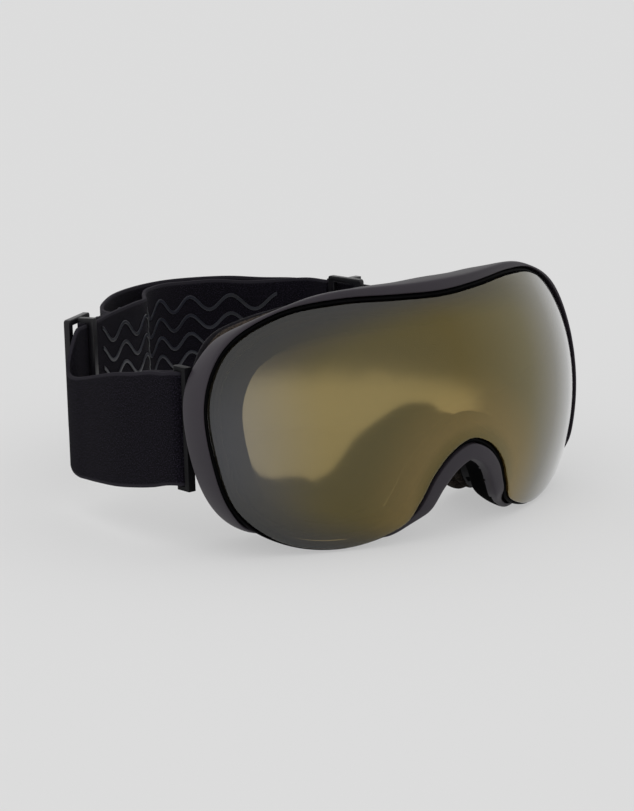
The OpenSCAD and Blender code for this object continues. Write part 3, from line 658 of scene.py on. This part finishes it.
# %% Clips and sliders
def moulded_copy(node, name, body, slot, finish, edge_mm):
    piece = cad_copy(node, name)
    open_mesh(piece)
    bpy.ops.mesh.dissolve_limited(angle_limit=math.radians(1))
    close_mesh()
    modify(piece, "BEVEL", width=edge_mm * MM, segments=3, limit_method="ANGLE", angle_limit=math.radians(35))
    finish_piece(piece, body, slot, finish, node)
    print(name, "faces", len(piece.data.polygons))


for side in ("right", "left"):
    moulded_copy("strap_clip_" + side, "clip_" + side, "goggles", "clip_plastic", clip_finish, 0.4)
    moulded_copy("slider_" + side, "ladder_slider_" + side, side + "_slider", "slider_plastic", slider_finish,
                 0.7)

# %% [markdown]
# ## The strap's route
# Webbing keeps its width and thickness wherever it goes, so it is easiest to make flat and then lay
# along a route. The route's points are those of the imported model, in millimetres: x, y, the height of
# the webbing's middle, and its width, which shrinks where the sliders gather it.

# %% Where the clips and sliders hold the webbing
STRAP_W, STRAP_T, GATHERED = 40.0, 1.4, 34.0
STRAP_Z, LOOP_R, BEND_FULL = 3.0, 2.45, 0.8
CLIP_X = 0.988 * HALF_W - 1.5
CLIP_Y = float(lens_y(0.988 * HALF_W, STRAP_Z)) + 11 + 8.9
SLIDERS = {"right": (np.array([-0.762 * CLIP_X, CLIP_Y + 78.4]), math.radians(30), 8.0),
           "left": (np.array([0.945 * CLIP_X, CLIP_Y + 94.2]), math.radians(94.6), 2.6)}
print("clips at x", round(CLIP_X, 1), "y", round(CLIP_Y, 1), "mm")

# %% [markdown]
# Points are written the way a strap is fitted: as a stop on the way round the head, beside a slider, or
# round a clip's bar.

# %% Kinds of route point
def stop(x, y, z, full=0.0):
    """A route point. full is 0 where the webbing is gathered and 1 at its full width."""
    return x, y, z, GATHERED + full * (STRAP_W - GATHERED)


def way(across, back, z, full=1.0):
    """A route point on the way round the head: a share of the way out to the clips, and how far behind."""
    return stop(across * CLIP_X, CLIP_Y + back, z, full)


def beside(slider, s, n, z, full=0.0):
    """A route point beside a slider: s along the strap, away from the frame, and n outwards."""
    at, turn, _ = SLIDERS[slider]
    ahead = np.array([math.cos(turn), math.sin(turn)])
    out = np.array([-ahead[1], ahead[0]]) if slider == "right" else np.array([ahead[1], -ahead[0]])
    return stop(*(at + s * ahead + n * out), z, full)


def clip_loop(side, fall):
    """The loop round a clip's bar, from the sewn end to the outside."""
    tail = [(CLIP_X + 0.5, 19, 1), (CLIP_X + 0.5, 13, 1), (CLIP_X - 0.7, 7, BEND_FULL)]
    bend = [(CLIP_X - LOOP_R * math.cos(a), -LOOP_R * math.sin(a), BEND_FULL)
            for a in np.radians(range(0, 181, 30))]
    outside = [(CLIP_X + LOOP_R + 0.2, 5, BEND_FULL), (CLIP_X + LOOP_R, 12, 1)]
    return [stop(side * x, CLIP_Y + back, STRAP_Z - fall * max(0, back), full)
            for x, back, full in tail + bend + outside]


print("points round a clip", len(clip_loop(1, 0)))

# %% [markdown]
# Each length of webbing starts in a loop at its clip, passes through its own slider, goes round the back
# of the head beside the other length, and ends at the other length's slider.

# %% The two routes
# Where a length ends, from the middle of the other slider: along the strap, and out from it.
END_S, END_N = 12.25, 1.8
right_route = clip_loop(-1, 0.175) + [
    way(-1.0234, 22, -1.1), way(-1.0111, 35, -3.2), way(-0.9915, 47, -5.2, 0.75), way(-0.9719, 57, -6.8, 0.5),
    way(-0.9596, 64, -7.6, 0.33), way(-0.9449, 69.4, -6.8, 0.17),
    beside("right", -15.1, 1.1, -3.2), beside("right", -12, 0.2, 4.2), beside("right", -8.5, 0, 7.8),
    *[beside("right", s, 0, 8) for s in (-4, 1, 6, 11)],
    beside("right", 18, 0, 7.4, 0.33), beside("right", 28.8, -0.4, 6.6, 0.67),
    way(-0.319, 98.5, 5.6), way(-0.2012, 105.5, 4.8), way(-0.1104, 116, 4.2), way(0, 126, 3.8),
    way(0.1595, 133, 3.2), way(0.3313, 136.8, 1.8), way(0.5154, 136.6, 0.7), way(0.6749, 132.6, -0.6, 0.83),
    way(0.7927, 126.4, -0.4, 0.8), beside("left", 25.5, -2.9, 1.2, 0.4),
    *[beside("left", END_S + s, -END_N, 2.6) for s in (8.5, 4, 0)],
]
left_route = clip_loop(1, 0.01) + [
    way(1.0234, 22, 2.8), way(1.0136, 32, 4.4), way(1.0026, 42, 5.6, 0.8), way(0.9903, 51.5, 5, 0.6),
    beside("left", -30, 0, 3.8, 0.4), beside("left", -22, 0, 3, 0.15),
    *[beside("left", s, 0, 2.6) for s in (-12, -2, 8, 11)],
    beside("left", 16.5, 0, 0.4, 0.55), beside("left", 22, 0, -1.2, 1),
    way(0.8811, 127, -1.4), way(0.7854, 135.2, -0.7, 0.83), way(0.6381, 141.4, 0.2), way(0.4418, 144.4, 1.3),
    way(0.2454, 143.6, 2.2), way(0.0491, 140, 2.4), way(-0.1473, 131, 2.8), way(-0.319, 118.5, 3.3, 0.83),
    way(-0.4295, 107, 4.8, 0.5), beside("right", 29, 5.6, 6.6, 0.17), beside("right", 25, 2.4, 7.7),
    *[beside("right", END_S + s, END_N, 8) for s in (8.5, 4, 0)],
]
print("route points", len(right_route), "and", len(left_route))

# %% [markdown]
# A route turns its points into a smooth curve and measures it. Flat webbing is then laid on it by
# length, so the pattern doesn't stretch in the bends.

# %% Reading a route by length
class Route:
    """A smooth run through route points, read by the length along it."""

    def __init__(self, points, parts=20):
        keys = [np.array(p, float) for p in points]
        last = len(keys) - 1
        run = [smooth(keys[max(i - 1, 0)], keys[i], keys[i + 1], keys[min(i + 2, last)], j / parts)
               for i in range(last) for j in range(parts)] + [keys[-1]]
        self.run = np.array(run)
        steps = np.linalg.norm(np.diff(self.run[:, :2], axis=0), axis=1)
        self.along = np.concatenate([[0], np.cumsum(steps)])
        self.length = float(self.along[-1])
        self.key_at = self.along[::parts]

    def read(self, s):
        return np.column_stack([np.interp(s, self.along, self.run[:, k]) for k in range(4)])

    def place(self, flat):
        """Lays flat points (length along, thickness, share of half the width) along the route."""
        s = np.clip(flat[:, 0], 0, self.length)
        here = self.read(s)
        ahead = self.read(np.minimum(s + 0.6, self.length)) - self.read(np.maximum(s - 0.6, 0))
        ahead = ahead[:, :2] / np.linalg.norm(ahead[:, :2], axis=1)[:, None]
        x = here[:, 0] - ahead[:, 1] * flat[:, 1]
        y = here[:, 1] + ahead[:, 0] * flat[:, 1]
        return np.column_stack([x, y, here[:, 2] + flat[:, 2] * here[:, 3] / 2])


right_run, left_run = Route(right_route), Route(left_route)
print("webbing lengths", round(right_run.length), round(left_run.length), "mm")

# %% [markdown]
# ## Webbing
# A grid is the flat webbing. It is extruded to its thickness, its long edges are rounded, and its flat
# place is kept as the UV map, in millimetres, before it is laid along the route.

# %% Make a length of webbing
def flat_strip(name, length, width, thick, along, across, edge):
    """A flat strip that stands on its edge: x along, y through it, z across. Millimetres."""
    bpy.ops.mesh.primitive_grid_add(x_subdivisions=along, y_subdivisions=across, size=1)
    strip = bpy.context.object
    strip.name = name
    open_mesh(strip)
    bpy.ops.transform.resize(value=(length, width, 1), center_override=(0, 0, 0))
    bpy.ops.mesh.extrude_region_move(TRANSFORM_OT_translate={"value": (0, 0, thick)})
    bpy.ops.mesh.select_all(action="SELECT")
    bpy.ops.mesh.normals_make_consistent(inside=False)
    bpy.ops.mesh.select_mode(type="EDGE")
    bpy.ops.mesh.select_all(action="DESELECT")
    bpy.ops.mesh.edges_select_sharp(sharpness=math.radians(60))
    bpy.ops.mesh.bevel(offset=edge, segments=2)
    close_mesh()
    spots = np.array([v.co[:] for v in strip.data.vertices])
    flat = np.column_stack([spots[:, 0] + length / 2, thick / 2 - spots[:, 2], spots[:, 1]])
    return strip, flat


def keep_flat_place(strip, flat):
    """Writes the flat place, in millimetres, as the UV map named cloth."""
    while strip.data.uv_layers:
        strip.data.uv_layers.remove(strip.data.uv_layers[0])
    layer = strip.data.uv_layers.new(name="cloth")
    corner = np.array([loop.vertex_index for loop in strip.data.loops])
    layer.data.foreach_set("uv", flat[corner][:, [0, 2]].ravel())


print("webbing is", STRAP_W, "by", STRAP_T, "mm")

# %% [markdown]
# A laid strip keeps its length and takes its width from the route. Along each selvedge the weave pulls in,
# so the strip is a little thinner there.

# %% Lay the webbing along its route
def set_places(piece, places):
    """Moves a piece's points to these places, given in millimetres."""
    piece.data.vertices.foreach_set("co", (places * MM).ravel())
    piece.data.update()


def webbing(name, run, body, node):
    """A length of webbing laid along a route. Its selvedges are a little thinner than its middle."""
    strip, flat = flat_strip(name, run.length, STRAP_W, STRAP_T, int(run.length / 1.4), 20, 0.35)
    keep_flat_place(strip, flat)
    bead = np.clip((np.abs(flat[:, 2]) - 0.46 * STRAP_W) / 0.8, 0, 1)
    laid = flat.copy()
    laid[:, 1] *= 1 - 0.12 * np.sin(bead * math.pi)
    laid[:, 2] /= STRAP_W / 2
    set_places(strip, run.place(laid))
    finish_piece(strip, body, "webbing", webbing_finish, node)
    print(name, "faces", len(strip.data.polygons))


webbing("webbing_right", right_run, "goggles", "strap_right")
webbing("webbing_left", left_run, "goggles", "strap_left")

# %% [markdown]
# ## Sewn ends
# Each length of webbing ends in a loop round the rear bar of the other one's slider, folded back and
# stitched down. The loop rides with the slider, so the sewn flap covers the webbing's end as it moves.

# %% Sewn ends
SEWN_W = GATHERED - 1


def sewn_route(slider):
    """The loop round a slider's rear bar: in along the webbing, round the bar and back outside."""
    z = SLIDERS[slider][2]
    turns = [(12.0, 1.8), (9.6, 1.85), (7.2, 1.9), (5.75, 1.95), (5.05, 2.35), (4.8, 3.1), (4.8, 4.2),
             (4.95, 5.3), (5.6, 5.95), (6.8, 6.05), (8.2, 5.9), (9.5, 5.1), (10.6, 4.1), (12.0, 3.55),
             (14.0, 3.4), (17.4, 3.4)]
    return [beside(slider, s, n, z, (SEWN_W - GATHERED) / (STRAP_W - GATHERED)) for s, n in turns]


sewn_runs = {slider: Route(sewn_route(slider)) for slider in SLIDERS}
webbing("sewn_end_left", sewn_runs["right"], "right_slider", "strap_end_left")
webbing("sewn_end_right", sewn_runs["left"], "left_slider", "strap_end_right")

# %% [markdown]
# ## Stitching
# One stitch is a short capsule that dips into the cloth at both ends. It is modelled once, copied
# into rows while flat, and laid along the same route as the webbing it holds.

# %% Stitching
PITCH, STITCH_L, THREAD_R, ROWS_APART, ABOVE_CLOTH = 3.3, 2.5, 0.27, 2.4, 0.85


def tack(name, run, start, face, width, webbing_w, body, node):
    """Two upright rows of stitches across the webbing, the first of them at start. Millimetres."""
    count = int(width / PITCH)
    bpy.ops.mesh.primitive_uv_sphere_add(segments=8, ring_count=6, radius=1)
    stitch = bpy.context.object
    stitch.name = name
    open_mesh(stitch)
    bpy.ops.transform.resize(value=(THREAD_R, THREAD_R, STITCH_L / 2), center_override=(0, 0, 0))
    close_mesh()
    copies = []
    for row in (0, 1):
        for k in range(count):
            copy = stitch.copy()
            copy.data = stitch.data.copy()
            bpy.context.collection.objects.link(copy)
            across = (k - (count - 1) / 2) * PITCH
            copy.data.transform(Matrix.Translation((start + row * ROWS_APART, face * ABOVE_CLOTH, across)))
            copies.append(copy)
    pick(copies[0])
    for copy in copies:
        copy.select_set(True)
    bpy.ops.object.join()
    piece = bpy.context.object
    bpy.data.objects.remove(stitch)
    piece.name = name
    flat = np.array([v.co[:] for v in piece.data.vertices])
    flat[:, 2] /= webbing_w / 2
    set_places(piece, run.place(flat))
    finish_piece(piece, body, "thread", thread_finish, node, angle=80)
    print(name, "stitches", 2 * count)


tack("clip_stitches_right", right_run, 2.0, 1, 35, STRAP_W, "goggles", "stitching_right")
tack("clip_stitches_left", left_run, 2.0, -1, 35, STRAP_W, "goggles", "stitching_left")
for slider, owner, face in (("right", "left", -1), ("left", "right", 1)):
    run = sewn_runs[slider]
    tack("end_stitches_" + owner, run, run.length - 4.4, face, 29, SEWN_W, slider + "_slider",
         "end_stitching_" + owner)

# %% [markdown]
# ## Silicone grip lines
# Four wavy beads of silicone are printed on the inner face of the webbing, to keep it on a helmet. They
# show as thin blue-grey lines.
# Each starts as a thin flat strip with rounded edges. A sine moves it up and down before it is laid on
# the webbing.

# %% Grip lines
GRIP_W, GRIP_T, WAVE, SWING, ROW_GAP = 1.3, 0.4, 20.0, 5.6, 7.3


def grip_lines(name, run, first, last, face, node):
    """Rows of wavy beads between two of a route's points, on the face 1 or -1 of the webbing."""
    start, end = run.key_at[first], run.key_at[last]
    rows = []
    for row in (-1.5, -0.5, 0.5, 1.5):
        pieces_along = int((end - start) / 0.8)
        strip, flat = flat_strip(f"{name}_{row}", end - start, GRIP_W, GRIP_T, pieces_along, 3, 0.16)
        s = flat[:, 0] + start
        slope = np.cos(2 * math.pi * s / WAVE) * SWING * math.pi / WAVE
        wave = SWING / 2 * np.sin(2 * math.pi * s / WAVE)
        across = flat[:, 2] * np.sqrt(1 + slope**2) + row * ROW_GAP + wave
        width = run.read(s)[:, 3]
        raised = face * (STRAP_T / 2 + GRIP_T / 2 + 0.03) + flat[:, 1]
        set_places(strip, run.place(np.column_stack([s, raised, across / (width / 2)])))
        rows.append(strip)
    pick(rows[0])
    for strip in rows:
        strip.select_set(True)
    bpy.ops.object.join()
    rows[0].name = name
    finish_piece(rows[0], "goggles", "silicone", silicone_finish, node, angle=60)
    print(name, "faces", len(rows[0].data.polygons))


grip_lines("grip_beads_right", right_run, 24, 35, -1, "grip_lines_right")
grip_lines("grip_beads_left", left_run, 25, 33, 1, "grip_lines_left")

# %% [markdown]
# ## Floor, light and camera
# A plain pale floor catches a soft shadow. A bright sky all round and one wide, soft sun light the
# goggles about as a white studio does, so colours come out as they are written.

# %% Floor
PAPER = "#DEDEDE"
bpy.ops.mesh.primitive_plane_add(size=12, location=(0, 0, cad_low.z - 0.0006))
floor = bpy.context.object
floor.name = "studio_floor"
floor_finish, floor_tree, floor_surface = start_material("pale studio paper", Roughness=1.0)
floor_surface.inputs["Base Color"].default_value = colour(PAPER)
floor_surface.inputs["Specular IOR Level"].default_value = 0.0
floor.data.materials.append(floor_finish)


def background_rays(tree):
    """1 for a ray that shows the background: straight from the camera, or through or off a glossy piece."""
    path = add(tree, "LightPath")
    glossy = add(tree, "Math", {0: path.outputs["Is Glossy Ray"], 1: path.outputs["Is Transmission Ray"]},
                 operation="ADD")
    seen = add(tree, "Math", {0: path.outputs["Is Camera Ray"], 1: glossy.outputs["Value"]}, operation="ADD",
               use_clamp=True)
    return seen.outputs["Value"]


# The paper glows a little where the camera sees it, so that the shadow on it is faint, as in a light tent.
glow = add(floor_tree, "Emission", {"Color": colour(PAPER), "Strength": 1.0})
glow_share = add(floor_tree, "Math", {0: background_rays(floor_tree), 1: 0.6}, operation="MULTIPLY")
paper = add(floor_tree, "MixShader", {"Fac": glow_share.outputs["Value"]})
floor_tree.links.new(floor_surface.outputs["BSDF"], paper.inputs[1])
floor_tree.links.new(glow.outputs["Emission"], paper.inputs[2])
floor_tree.links.new(paper.outputs["Shader"], floor_tree.nodes["Material Output"].inputs["Surface"])

print("floor at", round(cad_low.z - 0.0006, 4), "m")

# %% [markdown]
# The sky lights the goggles at one strength and shows behind them at another, so the background can be
# matched to the photograph without changing the light on the goggles.

# %% Light
SKY_LIGHT, BACKDROP = 0.88, 0.73
world = bpy.data.worlds.new("studio")
bpy.context.scene.world = world
world.use_nodes = True
sky = world.node_tree
back = sky.nodes["Background"]
level = add(sky, "MapRange", {"Value": background_rays(sky), "To Min": SKY_LIGHT, "To Max": BACKDROP})
sky.links.new(level.outputs["Result"], back.inputs["Strength"])
back.inputs["Color"].default_value = (1, 1, 1, 1)
bpy.ops.object.light_add(type="SUN", rotation=(math.radians(28), math.radians(-22), 0))
sun = bpy.context.object
sun.name = "soft_key"
sun.data.energy = 0.3
sun.data.angle = math.radians(70)
sun.visible_glossy = False
print("sky", SKY_LIGHT, "backdrop", BACKDROP, "sun", round(sun.data.energy, 2))

# %% [markdown]
# The camera stands where the photographer did: to the wearer's right and a little above, almost a metre
# away, with a long lens. Its turn and place come from matching the outline of the lens.

# %% Camera
TURN, RISE_ANGLE, ROLL = math.radians(-39.924), math.radians(12.53), math.radians(-1.5)
DISTANCE, FOCAL_PX, IMAGE_H = 0.9501, 2730.9, 811
back_axis = Vector((math.sin(TURN) * math.cos(RISE_ANGLE), -math.cos(TURN) * math.cos(RISE_ANGLE),
                    math.sin(RISE_ANGLE)))
level_axis = Vector((math.cos(TURN), math.sin(TURN), 0))
up_axis = back_axis.cross(level_axis)
right_axis = math.cos(ROLL) * level_axis + math.sin(ROLL) * up_axis
top_axis = -math.sin(ROLL) * level_axis + math.cos(ROLL) * up_axis
target = -0.023865 * right_axis - 0.001117 * top_axis
camera_data = bpy.data.cameras.new("studio_camera")
camera = bpy.data.objects.new("studio_camera", camera_data)
bpy.context.collection.objects.link(camera)
camera_data.sensor_width = 36
camera_data.lens = FOCAL_PX / IMAGE_H * camera_data.sensor_width
axes = Matrix((right_axis, top_axis, back_axis)).transposed()
camera.matrix_world = Matrix.Translation(target + DISTANCE * back_axis) @ axes.to_4x4()
bpy.context.scene.camera = camera
bpy.context.scene.view_settings.view_transform = "Standard"
print("lens", round(camera_data.lens, 1), "mm")
